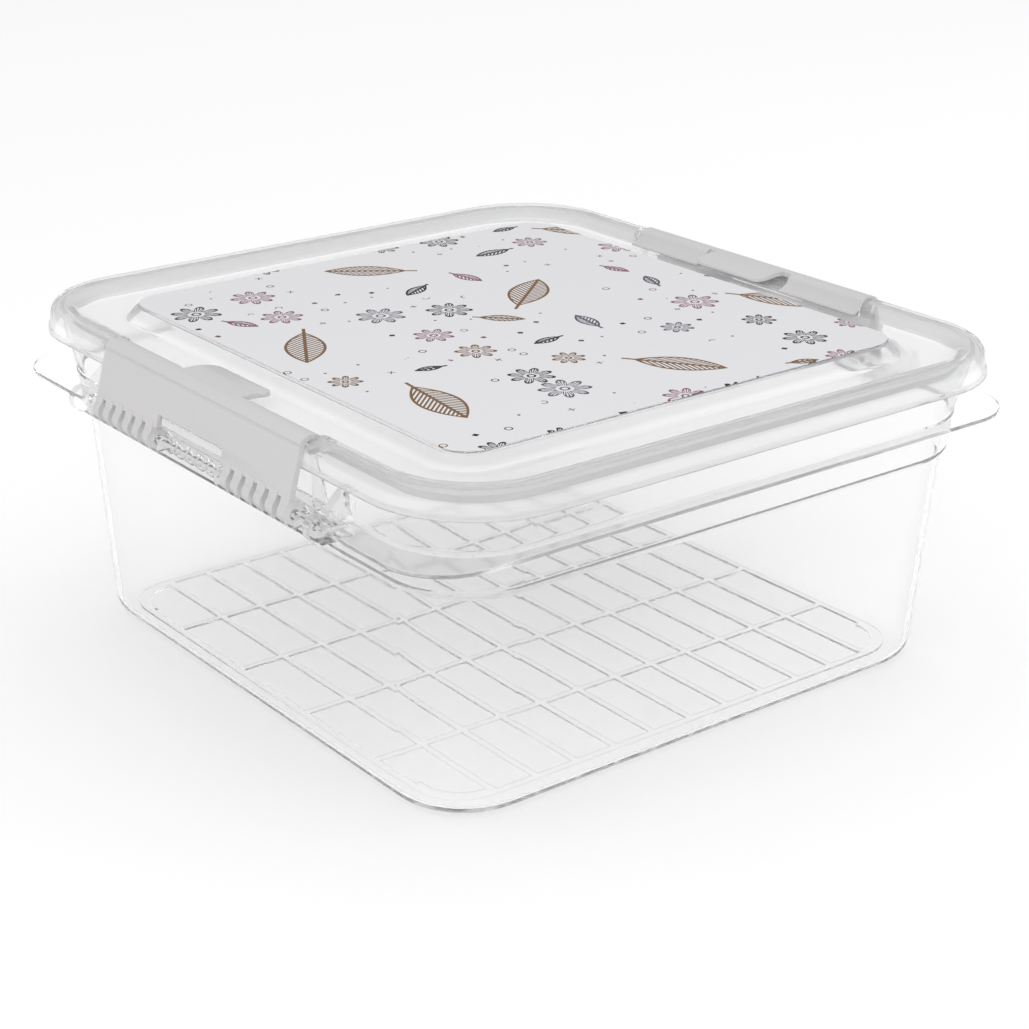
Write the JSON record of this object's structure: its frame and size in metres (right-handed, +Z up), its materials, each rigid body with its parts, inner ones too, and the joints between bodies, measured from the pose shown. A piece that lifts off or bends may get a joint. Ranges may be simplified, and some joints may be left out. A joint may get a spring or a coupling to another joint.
{
  "type": "food storage container",
  "caption": "Clear square food container with ribbed floor, lift-off lid with printed centre panel, and two hinged side clips that hook over the lid.",
  "frame": {"origin": "middle of the flat underside, on the surface that the container stands on", "axes": "+X from one clip towards the other, +Y along the clips, +Z up"},
  "size_m": [0.2612, 0.2694, 0.1173],
  "materials": {
    "container_plastic": "clear moulded plastic, polished",
    "lid_plastic": "clear moulded plastic, polished",
    "printed_label": "printed film moulded into the lid, satin",
    "clip_plastic": "opaque pale grey moulded plastic, satin"
  },
  "bodies": {
    "box": {"container": "container_plastic"},
    "lid_body": {"lid": "lid_plastic", "lid_label": "printed_label"},
    "clip_left_body": {"clip_left": "clip_plastic"},
    "clip_right_body": {"clip_right": "clip_plastic"}
  },
  "joints": [
    {"name": "lid_lift", "type": "slide", "parent": "box", "child": "lid_body", "axis": [0, 0, 1], "range_m": [0, 0.014]},
    {"name": "clip_left_swing", "type": "hinge", "parent": "box", "child": "clip_left_body", "pos_m": [-0.126, 0, 0.0934], "axis": [0, -1, 0], "range_deg": [0, 135]},
    {"name": "clip_right_swing", "type": "hinge", "parent": "box", "child": "clip_right_body", "pos_m": [0.126, 0, 0.0934], "axis": [0, 1, 0], "range_deg": [0, 135]}
  ],
  "couplings": [
    {"joint": "clip_left_swing", "follows": "lid_lift", "rad_per_m": 168.3},
    {"joint": "clip_right_swing", "follows": "lid_lift", "rad_per_m": 168.3}
  ]
}
